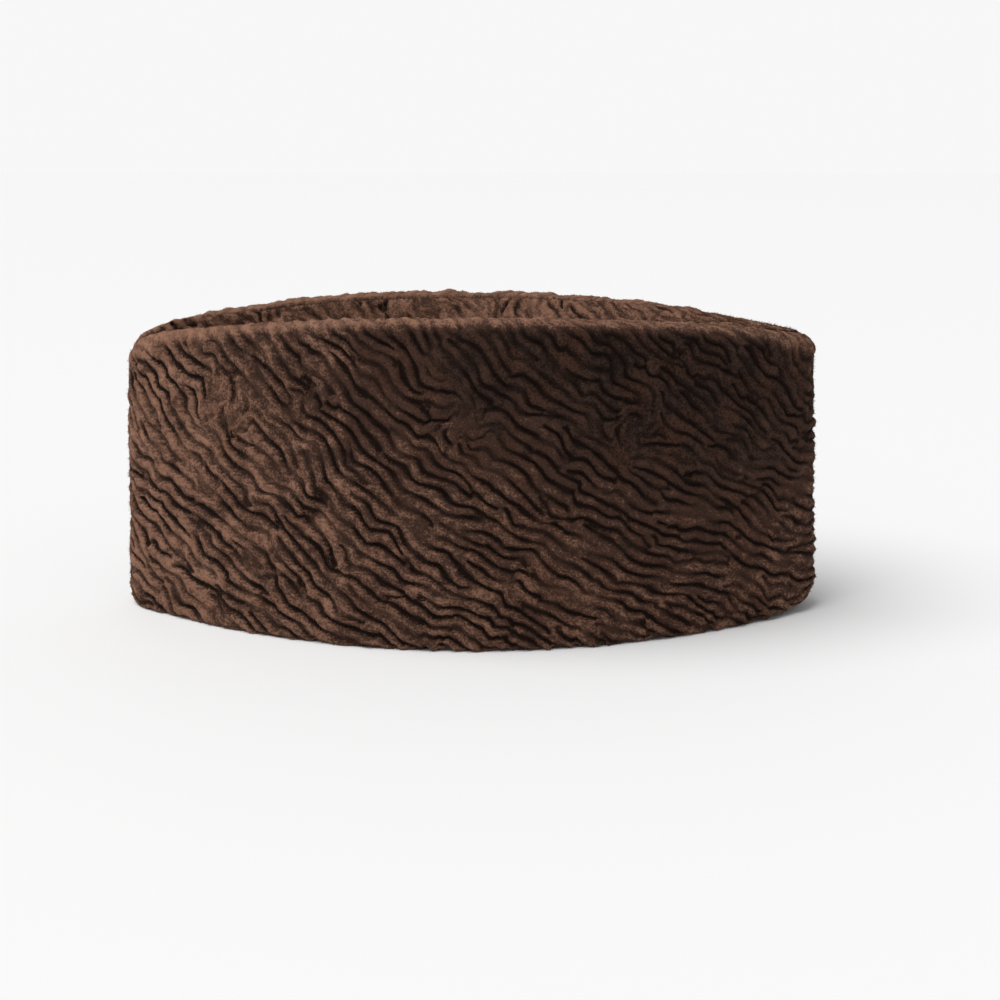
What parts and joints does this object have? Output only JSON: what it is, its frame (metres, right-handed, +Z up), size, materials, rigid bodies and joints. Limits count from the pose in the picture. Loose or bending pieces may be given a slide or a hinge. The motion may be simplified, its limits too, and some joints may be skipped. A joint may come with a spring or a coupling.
{
  "type": "topi cap",
  "caption": "Folding boat-shaped topi cap in brown curled lamb fur, with side panels meeting at the front and back and a crown creased in between. Worn on the head.",
  "frame": {"origin": "on the surface that the cap stands on, under the middle of its length and width", "axes": "+X along the cap from its front end to its back end, +Y to the wearer's right, +Z up"},
  "size_m": [0.2598, 0.1142, 0.113],
  "materials": {
    "left_side_fur": "tight glossy curls of short brown lamb fur, darker in the grooves, russet where light catches the tips",
    "right_side_fur": "tight glossy curls of short brown lamb fur, darker in the grooves, russet where light catches the tips",
    "left_crown_fur": "short brown lamb fur, a little lighter and more golden along the rim",
    "right_crown_fur": "short brown lamb fur, a little lighter and more golden along the rim"
  },
  "bodies": {
    "root": {"left_side_panel": "left_side_fur", "right_side_panel": "right_side_fur", "left_crown_panel": "left_crown_fur", "right_crown_panel": "right_crown_fur"}
  },
  "joints": []
}
